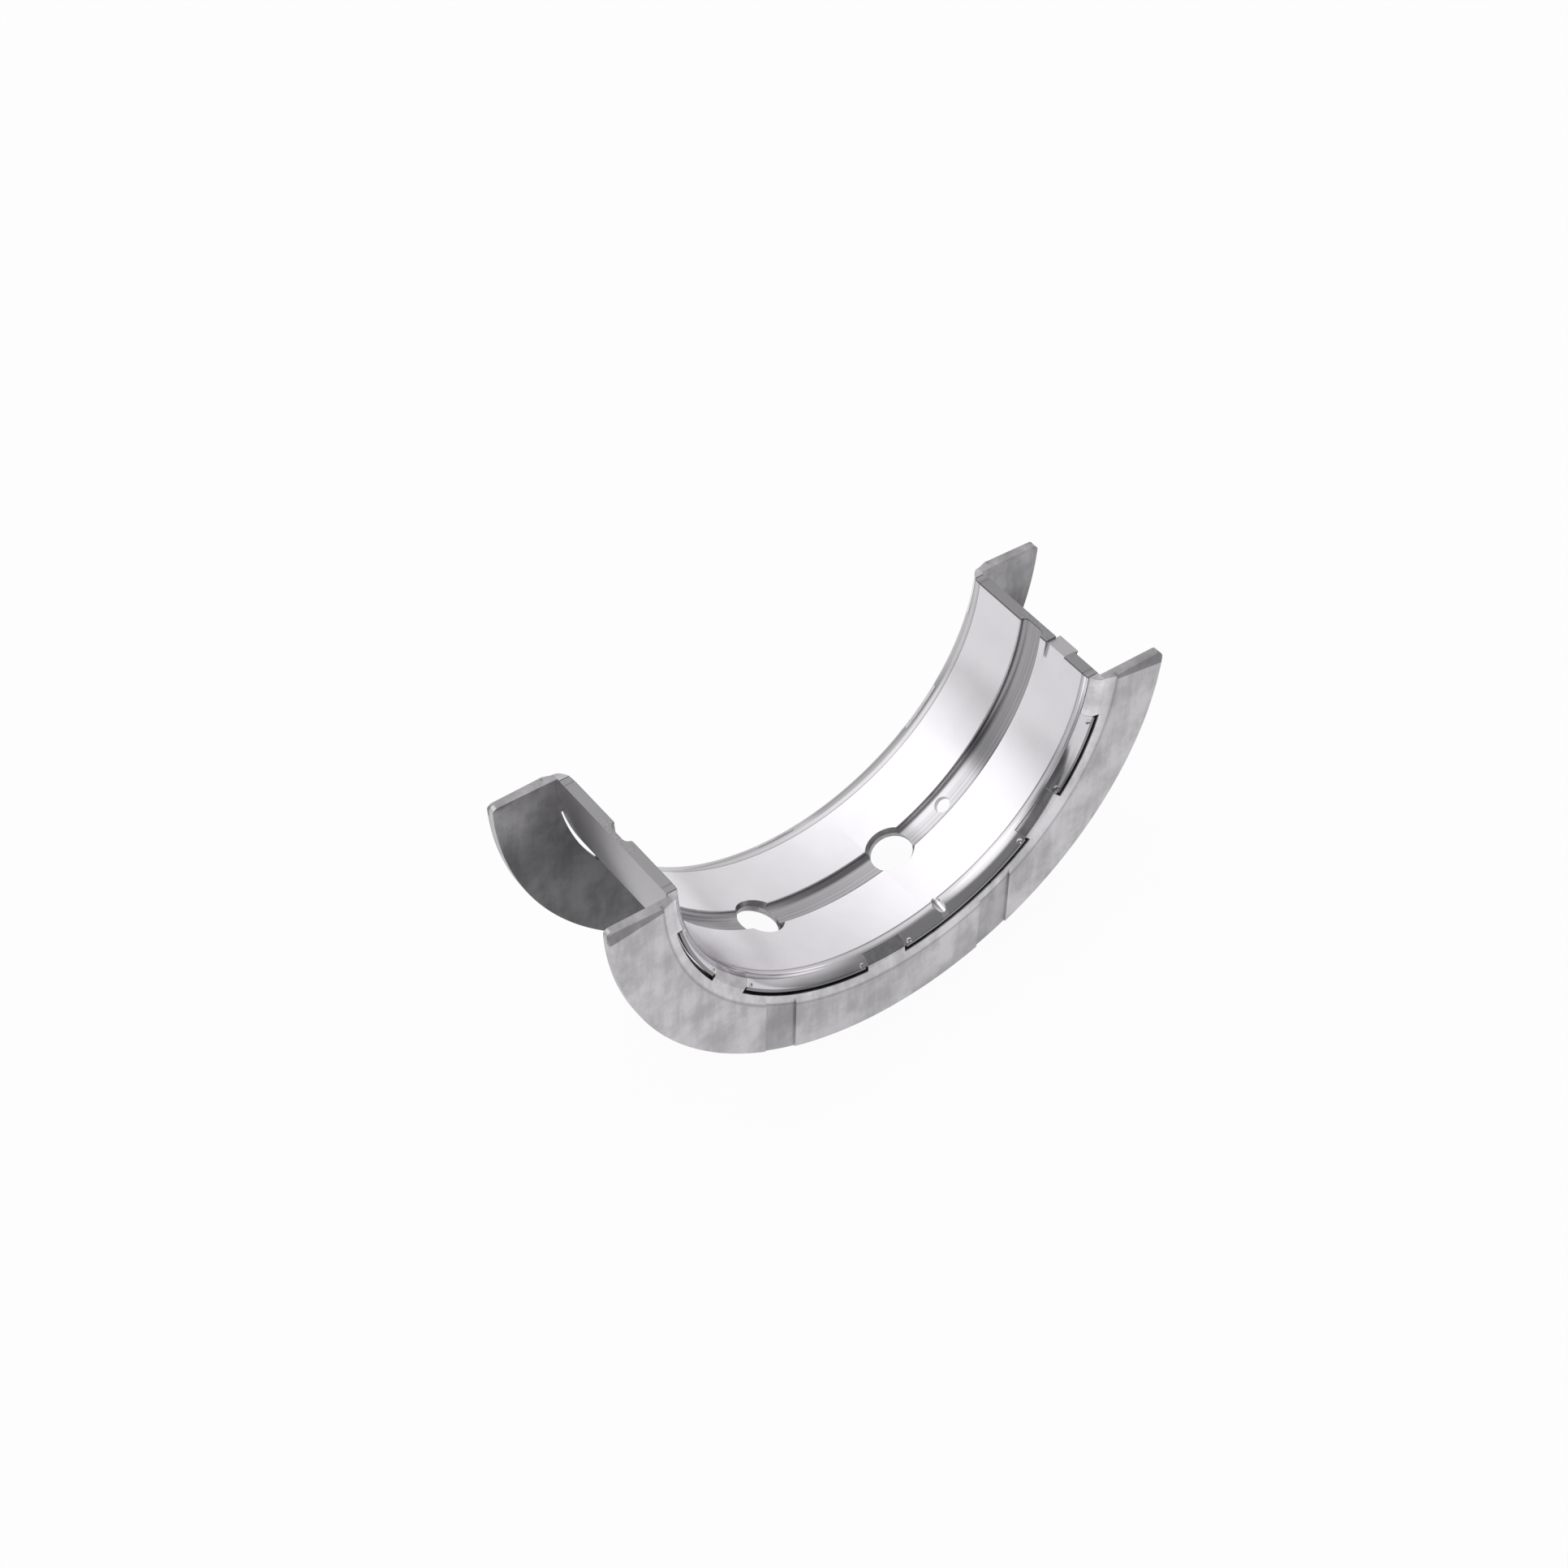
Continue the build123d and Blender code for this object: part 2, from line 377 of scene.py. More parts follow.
def tabWindows(clearance, yFrom, yTo, bothEnds=False):
    inner = boreRadius - wall
    outer = flangeBore + wall
    halfMiddle = tabs["middleWidth"] / 2 + clearance
    halfSide = tabs["sideWidth"] / 2 + clearance
    middle = block("window", -halfMiddle, halfMiddle, yFrom, yTo, -outer, -inner)
    side = block("window", -halfSide, halfSide, yFrom, yTo, -outer, -inner)
    # the end windows reach across both sides at once, above the height of the end tabs
    ends = block("window", -2 * outer, 2 * outer, yFrom, yTo, endTabSide - clearance, outer)
    return [
        row(middle, [0], bothEnds),
        row(side, [tabs["sideAngle"], -tabs["sideAngle"]], bothEnds),
        row(ends, [0], bothEnds)]


def tabEdgeAngles(radius, offset):
    # the angles of the eight tab edges in the shell, moved outwards by an offset at a radius
    middle = degrees(asin((tabs["middleWidth"] / 2 + offset) / radius))
    side = degrees(asin((tabs["sideWidth"] / 2 + offset) / radius))
    end = 90 - degrees(asin((offset - endTabSide) / radius))
    oneSide = [middle, tabs["sideAngle"] - side, tabs["sideAngle"] + side, end]
    return oneSide + [-angle for angle in oneSide]


# The shell

shell = {
    "endRoundLength": 2.7 * mm,
    "endRoundStart": 3,
    "endRoundFinish": 60,
    "bandWidth": 0.7 * mm,
    "bandDepth": 0.07 * mm,
    "bandStep": 0.1 * mm,
    "grooveWidth": 5.2 * mm,
    "grooveDepth": 1.25 * mm,
    "grooveLean": 12,
    "grooveFillet": 1.15 * mm,
    "grooveEdge": 0.35 * mm,
    "edgeBreak": 0.06 * mm,
    "holeDiameter": 7.9 * mm,
    "holeAngles": (18.9, -20.2),
    "sinkWidth": 0.5 * mm,
    "sinkDepth": 0.9 * mm,
    "holeBackBreak": 0.35 * mm,
    "pilotDiameter": 3.0 * mm,
    "pilotAngle": 35.3,
    "dentRadius": 0.8 * mm,
    "dentDepth": 0.18 * mm,
    "dentOffset": 1.1 * mm,
    "nickAngle": 17.5,
    "nickRadius": 1.3 * mm,
    "nickDepth": 0.4 * mm,
    "lugWidth": 4.8 * mm,
    "lugCentre": -6.7 * mm,
    "lugHeight": 1.0 * mm,
    "lugSetDown": 0.35 * mm,
    "lugRecess": 0.45 * mm,
    "lugLength": 5.0 * mm,
    "lugSlant": 0.12,
    "jointChamfer": 0.3 * mm,
}
roundStart = shellEnd - shell["endRoundLength"]
bandStart = roundStart - shell["bandWidth"] + shell["bandStep"]
bandRadius = boreRadius + shell["bandDepth"]
holeRadius = shell["holeDiameter"] / 2
sinkRadius = holeRadius + shell["sinkWidth"]
chamferFoot = jointHeight - shell["jointChamfer"]
lugFront = shell["lugCentre"] - shell["lugWidth"] / 2
lugRear = shell["lugCentre"] + shell["lugWidth"] / 2
lugTop = jointHeight - shell["lugSetDown"]
# the rolled-over end is an arc between two slopes
startSlope, finishSlope = (radians(shell[key]) for key in ("endRoundStart", "endRoundFinish"))
rollRadius = shell["endRoundLength"] / (sin(finishSlope) - sin(startSlope))


def roundRadius(y):
    # radius of the rolled-over end at a distance y from the middle
    slope = asin(sin(startSlope) + max(y - roundStart, 0) / rollRadius)
    return bandRadius + rollRadius * (cos(startSlope) - cos(slope))


lipRadius = roundRadius(shellEnd)
nickLow = (bandRadius + shell["nickDepth"] + lipRadius) / 2

shellLook = {
    "liningTone": 0.90,
    "bandTone": 0.68,
    "bandLine": 0.33,
    "grooveTone": 0.43,
    "grooveShade": 0.45,
    "grooveShine": 0.45,
    "endTone": 0.72,
    "endShade": 0.40,
    "slitShade": 0.55,
    "rearEndShadeTone": 0.52,
    "rearEndShade": 0.28,
    "lugSideShade": 0.12,
    "nickHighlightTone": 1.0,
    "lipShadeTone": 0.28,
    "backToneAndShade": 0.46,
    "backFrontLitTone": 0.50,
    "jointTone": 0.40,
    "jointEdgeTone": 0.15,
    "lugTone": 0.62,
    "slitShadeTone": 0.15,
    "mottling": 0.10,
    "toolLines": 0.9,
    "liningRoughness": 0.26,
    "grooveRoughness": 0.28,
    "endRoughness": 0.14,
    "backRoughness": 0.40,
    "jointRoughness": 0.50,
    "cloudScale": 90.0,
    "grainScale": 1400.0,
    "toolLineScale": 2600.0,
    "edgeRadius": 0.09 * mm,
    "reliefStrength": 0.12,
    "reliefDepth": 0.02 * mm,
}
shellMetal, tree = emptyMaterial("lined steel strip")
place, x, y, z, radius, side = objectPlace(tree)
clouds = noise(place, shellLook["cloudScale"], 5.0, 0.6)
grain = noise(place, shellLook["grainScale"], 3.0)
acrossTool = addNode(tree, "ShaderNodeCombineXYZ", {}, {"X": y, "Y": radius})
toolLines = noise(acrossTool, shellLook["toolLineScale"], 2.0)
# the zones of the surface, each from 0 to 1
# painted shade: the back of the shell keeps the steel's own tone, darkened for the shade between
# the flanges
onBack = radius.step(backRadius - 0.06 * mm, backRadius - 0.02 * mm)
offBack = 1 - onBack
# painted light: the front part of the back is lighter
onLitBackFront = onBack * (1 - y.step(-12 * mm, 10 * mm))
onEnd = side.step(roundStart + 0.02 * mm, roundStart + 0.12 * mm)
# painted shade: the rear rolled-over end is darker than the front one
onShadedRearEnd = y.step(roundStart - 0.1 * mm, roundStart + 0.7 * mm)
# painted shade: the lip at the very end is dark
onShadedLip = side.step(shellEnd - 0.08 * mm, shellEnd - 0.03 * mm)
onBand = side.step(bandStart - 0.05 * mm, bandStart + 0.05 * mm)
onBandEdge = offBack * side.between(
    bandStart - 0.14 * mm, bandStart + 0.04 * mm, bandStart + 0.06 * mm, bandStart + 0.30 * mm)
nearGroove = offBack * (1 - side.step(sinkRadius + 0.35 * mm, sinkRadius + 0.75 * mm))
inGroove = nearGroove * radius.step(boreRadius + 0.06 * mm, boreRadius + 0.12 * mm)
deepInGroove = inGroove * radius.step(boreRadius + 0.1 * mm, boreRadius + 0.6 * mm)
# painted highlight: the nick that the cut makes is turned bright
fromNick = abs(x - nickLow * sin(radians(shell["nickAngle"])))
onNickHighlight = (1 - fromNick.step(0.4 * mm, 0.8 * mm)) * (
    1 - y.step(-roundStart - 0.1 * mm, -roundStart))
# painted shade: the back of the shell in the slits under the flanges is dark
inShadedSlit = onBack * side.step(flangeBack - 0.3 * mm, flangeBack + 0.3 * mm)
onLug = z.step(lugTop - 0.05 * mm, lugTop - 0.01 * mm) * x.step(0.0, 1 * mm) * y.between(
    lugFront - 0.05 * mm, lugFront + 0.05 * mm, lugRear - 0.05 * mm, lugRear + 0.05 * mm)
onJoint = (z.step(jointHeight - 0.06 * mm, jointHeight - 0.03 * mm) + onLug).clamped()
onJointEdge = offBack * z.step(chamferFoot - 0.02 * mm, chamferFoot + 0.04 * mm)
tone = zoned(shellLook, "liningTone", {
    "bandTone": onBand, "grooveTone": inGroove, "endTone": onEnd, "rearEndShadeTone": onShadedRearEnd,
    "nickHighlightTone": onNickHighlight, "lipShadeTone": onShadedLip, "backToneAndShade": onBack, "backFrontLitTone": onLitBackFront,
    "jointEdgeTone": onJointEdge, "jointTone": onJoint, "lugTone": onLug, "slitShadeTone": inShadedSlit})
tone = tone * (1 - shellLook["bandLine"] * onBandEdge)
tone = tone * (1 - shellLook["mottling"] + 2 * shellLook["mottling"] * clouds)
tone = tone * (1 + shellLook["toolLines"] * deepInGroove * (toolLines - 0.5))
# the soft dark places that the photo's studio leaves in the metal, each in a zone and along X
lowOnEnds = side.step(roundStart + 0.8 * mm, roundStart + 2.2 * mm) * (
    1 - z.step(-37 * mm, -34 * mm))
onFrontLip = 1 - y.step(0.4 * mm - shellEnd, 0.9 * mm - shellEnd)
onRearRound = y.step(roundStart + 0.1 * mm, roundStart + 0.6 * mm)
for key, zone in (
        ("grooveShade", deepInGroove * x.between(31 * mm, 34 * mm, 34.5 * mm, 40 * mm)),
        ("endShade", lowOnEnds * x.between(-25 * mm, -17 * mm, -9 * mm, -2 * mm)),
        ("slitShade", onFrontLip * x.between(29 * mm, 32 * mm, 38 * mm, 41 * mm)),
        ("rearEndShade", onRearRound * x.between(6 * mm, 11 * mm, 35 * mm, 39 * mm))):
    tone = tone * (1 - shellLook[key] * offBack * zone)
tone = tone * (1 - shellLook["lugSideShade"] * (1 - onEnd) * x.step(37 * mm, 42 * mm))
# painted highlight: the groove is lighter on the lug side of its holes
holeSide = x.between(18 * mm, 21 * mm, 30 * mm, 33 * mm)
tone = tone * (1 + shellLook["grooveShine"] * deepInGroove * holeSide)
rough = zoned(shellLook, "liningRoughness", {
    "grooveRoughness": inGroove, "endRoughness": onEnd, "backRoughness": onBack,
    "jointRoughness": onJoint})
closeMetal(tree, shellLook, tone, rough * (0.85 + 0.3 * clouds),
           grain + clouds * 2 + deepInGroove * toolLines)


def rolledEnd(yFrom, steps=16):
    ys = [yFrom + (shellEnd - yFrom) * sin(pi / 2 * i / steps) for i in range(steps + 1)]
    return [(roundRadius(y), y) for y in ys]


def shellSection():
    lean = radians(shell["grooveLean"])
    halfGroove = shell["grooveWidth"] / 2
    fillet = shell["grooveFillet"]
    # the fillet's centre keeps its distance from the floor and from the leaning wall
    depth = shell["grooveDepth"] - fillet
    centre = (boreRadius + depth, halfGroove - depth * tan(lean) - fillet / cos(lean))
    corner = arcPoints(centre, fillet, 0, pi / 2 - lean, 7)
    # the edge between the leaning wall and the land is rounded
    edge = shell["grooveEdge"]
    edgeY = halfGroove + edge * tan((pi / 2 - lean) / 2)
    rim = arcPoints((boreRadius + edge, edgeY), edge, -pi / 2 - lean, -pi, 6)
    band = [(boreRadius, bandStart - shell["bandStep"]), (bandRadius, bandStart)]
    back = [
        (backRadius - shell["edgeBreak"], shellEnd), (backRadius, shellEnd - shell["edgeBreak"])]
    half = corner + rim + band + rolledEnd(roundStart) + back
    return half + [(radius, -y) for radius, y in reversed(half)]


def lugTools():
    foot = jointHeight - shell["lugLength"]
    backFoot = sqrt(backRadius**2 - foot**2)
    boreFoot = sqrt(boreRadius**2 - foot**2)
    backTop = sqrt(backRadius**2 - jointHeight**2)
    boreTop = sqrt(boreRadius**2 - jointHeight**2)
    recessTop = boreTop + shell["lugRecess"]
    bulge = prism("lug", [
        (backTop - wall / 2, lugTop), (backTop + shell["lugHeight"], lugTop),
        (backFoot, foot), (backFoot - wall / 2, foot)], lugFront, lugRear)
    recess = prism("recess", [
        (boreTop - wall, jointHeight + wall), (recessTop, jointHeight + wall),
        (recessTop, jointHeight), (boreFoot, foot), (boreFoot - wall, foot)],
        lugFront, lugRear, shell["lugSlant"], recessTop)
    setDown = block(
        "set down", boreTop - wall, backTop + wall, lugFront, lugRear, lugTop, jointHeight + wall)
    return bulge, recess, setDown


def jointChamfers():
    inner = sqrt(boreRadius**2 - jointHeight**2)
    outline = [
        (inner + shell["jointChamfer"], jointHeight),
        (inner + shell["jointChamfer"], jointHeight + wall),
        (inner - wall, jointHeight + wall),
        (inner - wall, chamferFoot - wall)]
    return [
        prism("joint chamfer", [(side * x, z) for x, z in outline], -shellEnd, shellEnd)
        for side in (1, -1)]


shellPiece = turned("shellBody", shellSection(), shellMetal)
carve(shellPiece, [aboveJoint()])
sinkBottom = -boreRadius - shell["sinkDepth"]
sinkSlope = shell["sinkWidth"] / shell["sinkDepth"]
breakTop = shell["holeBackBreak"] - backRadius
drill = roundTool("drill", [
    (holeRadius + wall, breakTop - wall), (holeRadius, breakTop),
    (holeRadius, sinkBottom), (holeRadius + wall * sinkSlope, sinkBottom + wall)])
pilotRadius = shell["pilotDiameter"] / 2
pilot = roundTool("pilot drill", [
    (pilotRadius, -backRadius - wall), (pilotRadius, -boreRadius + wall)], 48)
carve(shellPiece, [row(drill, shell["holeAngles"]), row(pilot, [shell["pilotAngle"]])])
carve(shellPiece, tabWindows(tabs["sideClearance"], notchWall, shellEnd + wall, True))
halfSlot = tabs["slotWidth"] / 2
slots = block("root slot", -halfSlot, halfSlot, notchWall, shellEnd + wall,
              -flangeBore, -flangeBore + tabs["slotLength"])
carve(shellPiece, [row(slots, tabEdgeAngles(backRadius, halfSlot), True)])

# the dents are made by balls sunk into the slope of the rolled-over ends
lean = atan2(lipRadius - bandRadius, shell["endRoundLength"])
dentStand = shell["dentRadius"] - shell["dentDepth"]
dentY = shellEnd - shell["dentDepth"]
dentPlace = roundRadius(dentY) - dentStand * cos(lean)
bm = bmesh.new()
bmesh.ops.create_icosphere(bm, subdivisions=3, radius=shell["dentRadius"])
bmesh.ops.translate(bm, verts=bm.verts, vec=(0, dentY + dentStand * sin(lean), -dentPlace))
dents = bmeshObject("dent", bm)
carve(shellPiece, [row(dents, tabEdgeAngles(dentPlace, shell["dentOffset"]), True)])

# the nick is made by a round bar with a tapered end, laid along the slope of the front end
nickLean = atan2(lipRadius - bandRadius - shell["nickDepth"], shell["endRoundLength"])
nickRadius, nickReach = shell["nickRadius"], shell["endRoundLength"]
nick = roundTool("nick", [
    (nickRadius, -nickReach), (nickRadius, -nickReach / 2),
    (nickRadius - 1.2 * shell["nickDepth"], nickReach / 4)])
nickPlace = Matrix.Translation((
    0, -(roundStart + shellEnd) / 2 - nickRadius * sin(nickLean),
    -nickLow + nickRadius * cos(nickLean)))
nick.data.transform(nickPlace @ Matrix.Rotation(pi / 2 + nickLean, 4, "X"))
carve(shellPiece, [row(nick, [shell["nickAngle"]])])
bulge, recess, setDown = lugTools()
carve(shellPiece, [bulge], "UNION")
carve(shellPiece, [recess, setDown] + jointChamfers())
print("shell made,", len(shellPiece.data.polygons), "faces")


# The thrust flanges

flange = {
    "edgeRadius": 0.35 * mm,
    "backEdgeRadius": 0.12 * mm,
    "bevelWidth": 1.65 * mm,
    "bevelFoot": 0.2 * mm,
    "frontSlitFoot": 0.15 * mm,
    "cornerRadius": 1.1 * mm,
    "slotCentre": 23.2 * mm,
    "slotWidth": 6.4 * mm,
    "slotDepth": 0.45 * mm,
    "rampStart": 42 * mm,
    "rampHeight": 2.3 * mm,
    "rampDepth": 0.45 * mm,
}
bevelEdge = flangeBore + flange["bevelWidth"]
slotFloor = thrustFace - flange["slotDepth"]
rampLength = flangeRadius - flange["rampStart"]

flangeLook = {
    "faceTone": 0.73,
    "bevelTone": 0.89,
    "slotTone": 0.57,
    "rampTone": 0.38,
    "backToneAndShade": 0.21,
    "backTopLitTone": 0.48,
    "endTone": 0.59,
    "tabTone": 0.68,
    "endTabTone": 0.89,
    "slitShadeTone": 0.15,
    "cloudDepth": 0.36,
    "backCloudDepth": 0.46,
    "lugSideShade": 0.06,
    "creaseShadeDepth": 0.33,
    "roughness": 0.36,
    "endRoughness": 0.5,
    "tabRoughness": 0.14,
    "cloudScale": 120.0,
    "streakScale": 520.0,
    "grainScale": 1600.0,
    "edgeRadius": 0.08 * mm,
    "reliefStrength": 0.2,
    "reliefDepth": 0.03 * mm,
}
flangeMetal, tree = emptyMaterial("tumbled thrust steel")
place, x, y, z, radius, side = objectPlace(tree)
clouds = noise(place, flangeLook["cloudScale"], 6.0, 0.65)
wiped = addNode(tree, "ShaderNodeMapping", {}, {"Vector": place, "Scale": (1.0, 1.0, 0.16)})
streaks = noise(wiped, flangeLook["streakScale"], 4.0, 0.55)
grain = noise(place, flangeLook["grainScale"], 2.0)
blotch = (clouds * 0.7 + streaks * 0.3).step(0.36, 0.64)
# the zones of the surface, each from 0 to 1
front = side.step(shellEnd - 0.2 * mm, shellEnd - 0.1 * mm)
outside = radius.step(bevelEdge, bevelEdge + 0.1 * mm)
onBevel = front * (1 - outside)
# painted shade: a dark line along the outer edge of the bevel
creaseShade = front * radius.between(
    bevelEdge - 0.45 * mm, bevelEdge, bevelEdge, bevelEdge + 0.45 * mm)
inSlot = outside * side.between(
    slotFloor - 0.15 * mm, slotFloor - 0.05 * mm, slotFloor + 0.03 * mm, slotFloor + 0.07 * mm)
rampFoot = jointHeight - (abs(x) - flange["rampStart"]) * (flange["rampHeight"] / rampLength)
onRamp = outside * front * (z - rampFoot).step(-0.05 * mm, 0.05 * mm)
onTab = 1 - radius.step(backRadius - 0.06 * mm, backRadius - 0.02 * mm)
onEndTab = onTab * z.step(endTabSide - 0.2 * mm, endTabSide + 0.2 * mm)
offBack = side.step(flangeBack + 0.02 * mm, flangeBack + 0.06 * mm)
# painted shade: the back faces of the flanges are dark
onBack = (1 - offBack) * (1 - onTab)
# painted light: the top of the back faces is lighter
onLitBackTop = onBack * z.step(-16 * mm, -6 * mm)
onEndFace = z.step(jointHeight - 0.05 * mm, jointHeight - 0.02 * mm)
# painted shade: the flange's bore in the slit between the tabs is dark
inShadedSlit = offBack * (1 - side.step(shellEnd - 0.05 * mm, shellEnd)) * (1 - onEndFace)
inShadedSlit = inShadedSlit * radius.between(
    backRadius + 0.10 * mm, backRadius + 0.15 * mm, flangeBore + 0.01 * mm, flangeBore + 0.03 * mm)
# painted shade: the face is a little darker towards the lug side
lugSide = outside * front * x.step(20 * mm, 50 * mm) * z.step(-35 * mm, -10 * mm)
tone = zoned(flangeLook, "faceTone", {
    "bevelTone": onBevel, "slotTone": inSlot, "rampTone": onRamp, "backToneAndShade": onBack,
    "backTopLitTone": onLitBackTop, "tabTone": onTab, "endTabTone": onEndTab, "endTone": onEndFace,
    "slitShadeTone": inShadedSlit})
tone = tone * (1 - zoned(flangeLook, "cloudDepth", {"backCloudDepth": onBack}) * (1 - blotch))
tone = tone * (1 - flangeLook["creaseShadeDepth"] * creaseShade)
tone = tone * (1 - flangeLook["lugSideShade"] * lugSide)
rough = zoned(flangeLook, "roughness", {"endRoughness": onEndFace, "tabRoughness": onTab})
closeMetal(tree, flangeLook, tone, rough + 0.1 * blotch * (1 - onTab),
           grain * 0.5 + clouds + streaks)


def flangeSection():
    edge, backEdge = flange["edgeRadius"], flange["backEdgeRadius"]
    front = arcPoints((flangeRadius - edge, thrustFace - edge), edge, pi / 2, 0, 5)
    rear = arcPoints((flangeRadius - backEdge, flangeBack + backEdge), backEdge, 0, -pi / 2, 3)
    bevel = [(flangeBore, shellEnd + flange["bevelFoot"]), (bevelEdge, thrustFace)]
    tab = [(backRadius, flangeBack), (backRadius, tabTip)]
    return rolledEnd(tabTip) + bevel + front + rear + tab


def rampTool(side, yTo):
    # leans in towards the joint face, and grows from nothing at its start to full size at the rim
    ends = []
    for x in (boreRadius, reach):
        share = (x - flange["rampStart"]) / rampLength
        foot = jointHeight - share * flange["rampHeight"]
        deep = thrustFace - share * flange["rampDepth"]
        outline = [
            (thrustFace, foot), (deep, jointHeight), (deep, jointHeight + wall),
            (yTo, jointHeight + wall), (yTo, foot)]
        ends.append([(side * x, y, z) for y, z in outline])
    return lofted("ramp", *ends)


def cornerTool(side, yTo):
    corner = flange["cornerRadius"]
    rim = sqrt(flangeRadius**2 - (corner - jointHeight)**2)
    rounding = arcPoints((rim - corner, jointHeight - corner), corner, pi / 2, 0, 6)
    outline = [(rim - corner, jointHeight + wall)] + rounding + [
        (rim + wall, jointHeight - corner), (rim + wall, jointHeight + wall)]
    return prism("corner cut", [(side * x, z) for x, z in outline], tabTip - wall, yTo)


def makeFlange(name, slitFoot):
    # made for the rear end, with slitFoot as the width of the slit between the tabs at its back
    piece = turned(name, flangeSection(), flangeMetal)
    yFrom, yTo = tabTip - wall, thrustFace + wall
    between = turned("between tabs", [
        (boreRadius - wall, yFrom), (boreRadius - wall, yTo), (flangeBore, yTo),
        (flangeBore, shellEnd), (backRadius + slitFoot, flangeBack),
        (backRadius + slitFoot, yFrom)], flangeMetal)
    carve(between, tabWindows(0, yFrom - wall, yTo + wall))
    carve(piece, [aboveJoint(), between])
    slotFrom = flange["slotCentre"] - flange["slotWidth"] / 2
    slotTo = flange["slotCentre"] + flange["slotWidth"] / 2
    return carve(piece, [
        block("oil slot", slotFrom, slotTo, slotFloor, yTo, -reach, 0),
        block("oil slot", -slotTo, -slotFrom, slotFloor, yTo, -reach, 0),
        rampTool(1, yTo), rampTool(-1, yTo), cornerTool(1, yTo), cornerTool(-1, yTo)])


rearPiece = makeFlange("rearFlange", tabs["slit"])
frontPiece = makeFlange("frontFlange", flange["frontSlitFoot"])
frontPiece.data.transform(Matrix.Scale(-1, 4, (0, 1, 0)))
frontPiece.data.flip_normals()
print("flanges made,", len(rearPiece.data.polygons), "faces each")

sharpAngle = radians(24)
for piece, node, metal, slot in (
        (shellPiece, "bearing_shell", shellMetal, "shell_lining"),
        (rearPiece, "rear_thrust_flange", flangeMetal, "thrust_flange"),
        (frontPiece, "front_thrust_flange", flangeMetal, "thrust_flange")):
    cleaned(piece.data)
    # the faces that the cutters left take the metal too
    piece.data.materials.clear()
    piece.data.materials.append(metal)
    piece.data.polygons.foreach_set("material_index", [0] * len(piece.data.polygons))
    piece.data.shade_smooth()
    piece.data.set_sharp_from_angle(angle=sharpAngle)
    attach(piece, "root")
    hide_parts(node)


# Floor, light and camera

studio = {
    "floorTone": 0.9,
    "floorGlow": 0.95,
    "floorSheen": 0.60,
    "floorRadius": 0.5,
    "skyFront": 0.23,
    "skyRear": 1.2,
    "skyRearRight": 0.72,
    "skyRight": 0.78,
    "skyKey": 1.05,
    "skyLeftEnd": 0.45,
    "skyHorizon": 0.6,
    "lampPlace": (-0.72, 0.18, 0.95),
    "lampTarget": (0, 0, -0.03),
    "lampSize": 0.7,
    "lampPower": 0.4,
}
white = (1, 1, 1, 1)

floorPaint, tree = emptyMaterial("studio floor")
rays = addNode(tree, "ShaderNodeLightPath", {}, {}, "Is Camera Ray")
sheen = rays.out("Is Glossy Ray") * studio["floorSheen"]
glow = addNode(tree, "ShaderNodeEmission", {}, {"Color": white, "Strength": 1.0})
matt = addNode(tree, "ShaderNodeBsdfDiffuse", {}, {"Color": (studio["floorTone"],) * 3 + (1,)})
blend = addNode(tree, "ShaderNodeMixShader", {}, {
    "Fac": rays * studio["floorGlow"] + sheen, "Shader": matt, "Shader_001": glow})
addNode(tree, "ShaderNodeOutputMaterial", {}, {"Surface": blend})
bm = bmesh.new()
bmesh.ops.create_circle(bm, cap_ends=True, segments=128, radius=studio["floorRadius"])
bmesh.ops.translate(bm, verts=bm.verts, vec=(0, 0, -flangeRadius))
floor = bmeshObject("studioFloor", bm)
floor.data.materials.append(floorPaint)

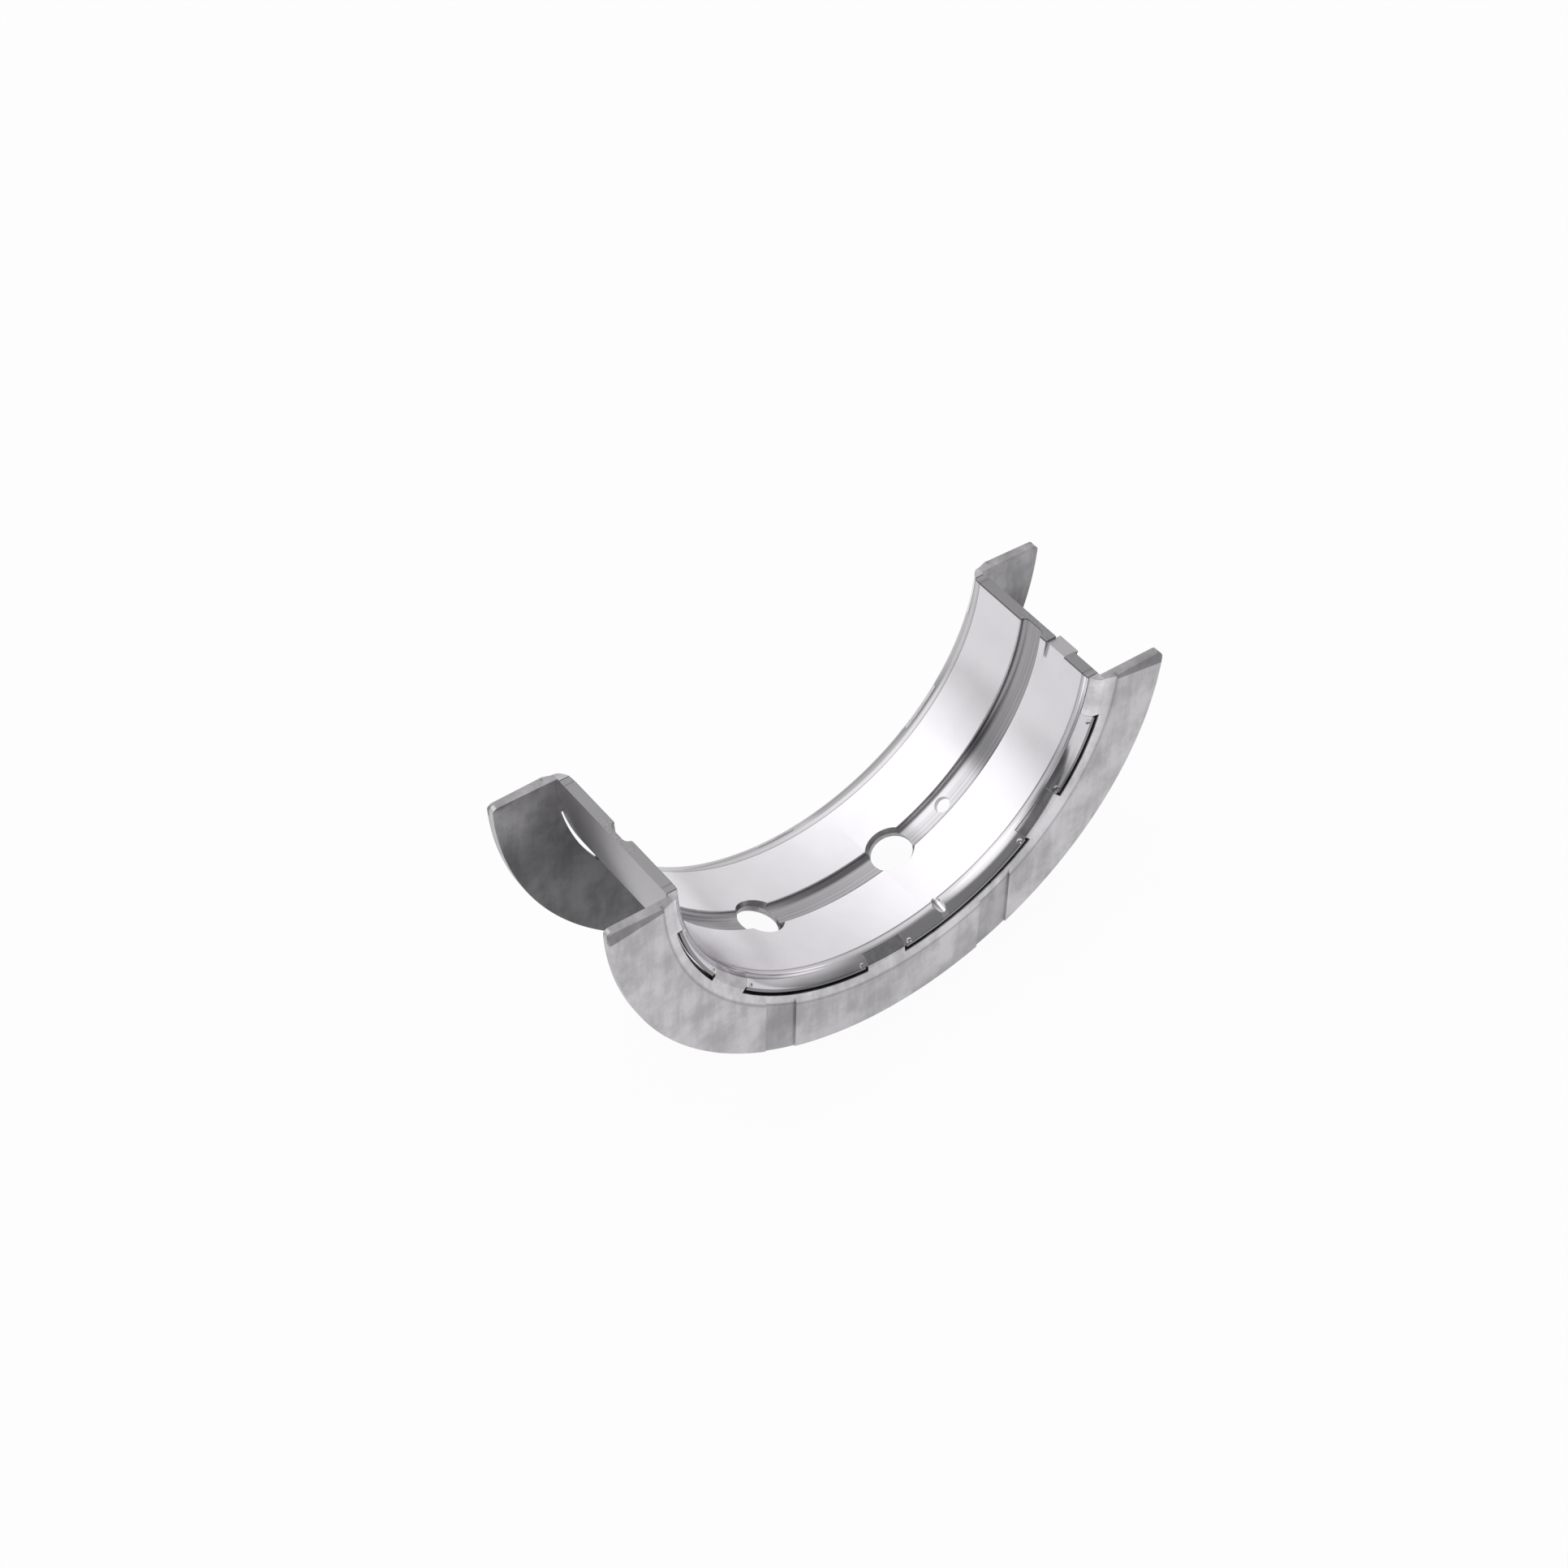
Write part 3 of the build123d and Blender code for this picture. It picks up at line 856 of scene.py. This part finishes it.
# The sky is bright behind the part and high on the left, and dark on the side of the camera
world = bpy.data.worlds.new("studio")
bpy.context.scene.world = world
world.use_nodes = True
tree = world.node_tree
tree.nodes.clear()
rays = addNode(tree, "ShaderNodeLightPath", {}, {}, "Is Camera Ray")
way = addNode(tree, "ShaderNodeTexCoord", {}, {}, "Generated")
x = addNode(tree, "ShaderNodeSeparateXYZ", {}, {"Vector": way})
y, z = x.out("Y"), x.out("Z")
rearLevel = zoned(studio, "skyRear", {"skyRearRight": x.step(-0.2, 0.95)})
frontLevel = zoned(studio, "skyFront", {"skyRight": x.step(0.45, 0.95)})
highLeft = (z * 0.8 - x * 0.6).step(0.8, 1.0)
sky = frontLevel + y.step(-0.1, 0.6) * (rearLevel - frontLevel) + studio["skyKey"] * highLeft
sky = sky * (studio["skyLeftEnd"] + (1 - studio["skyLeftEnd"]) * x.step(-1.0, -0.7))
sky = sky * (studio["skyHorizon"] + (1 - studio["skyHorizon"]) * z.step(-0.1, 0.25))
backdrop = addNode(tree, "ShaderNodeBackground", {}, {
    "Color": white, "Strength": rays + (1 - rays) * sky})
addNode(tree, "ShaderNodeOutputWorld", {}, {"Surface": backdrop})

light = bpy.data.lights.new("keySoftbox", "AREA")
light.shape = "SQUARE"
light.size = studio["lampSize"]
light.energy = studio["lampPower"]
lamp = bpy.data.objects.new("keySoftbox", light)
bpy.context.scene.collection.objects.link(lamp)
lamp.location = studio["lampPlace"]
lampWay = Vector(studio["lampTarget"]) - Vector(studio["lampPlace"])
lamp.rotation_mode = "QUATERNION"
lamp.rotation_quaternion = lampWay.to_track_quat("-Z", "Y")
lamp.visible_glossy = False  # the metal mirrors the sky alone, so that no lamp edge shows in it

camera = {
    "azimuth": -37.022,
    "elevation": 45.146,
    "roll": 1.322,
    "distance": 12.9643 * boreRadius,
    "aimAcross": -0.1963 * boreRadius,
    "aimUp": -0.2625 * boreRadius,
    "lens": 75.63,
}
a, e, r = (radians(camera[key]) for key in ("azimuth", "elevation", "roll"))
back = Vector((sin(a) * cos(e), -cos(a) * cos(e), sin(e)))
right = Vector((cos(a), sin(a), 0))
up = back.cross(right)
right, up = right * cos(r) + up * sin(r), up * cos(r) - right * sin(r)
lens = bpy.data.cameras.new("photoView")
lens.lens = camera["lens"]
lens.clip_start, lens.clip_end = 0.01, 20
eye = bpy.data.objects.new("photoView", lens)
bpy.context.scene.collection.objects.link(eye)
spot = right * camera["aimAcross"] + up * camera["aimUp"] + back * camera["distance"]
eye.matrix_world = Matrix.Translation(spot) @ Matrix((right, up, back)).transposed().to_4x4()
bpy.context.scene.camera = eye

bpy.context.scene.view_settings.view_transform = "Standard"
print("studio made")
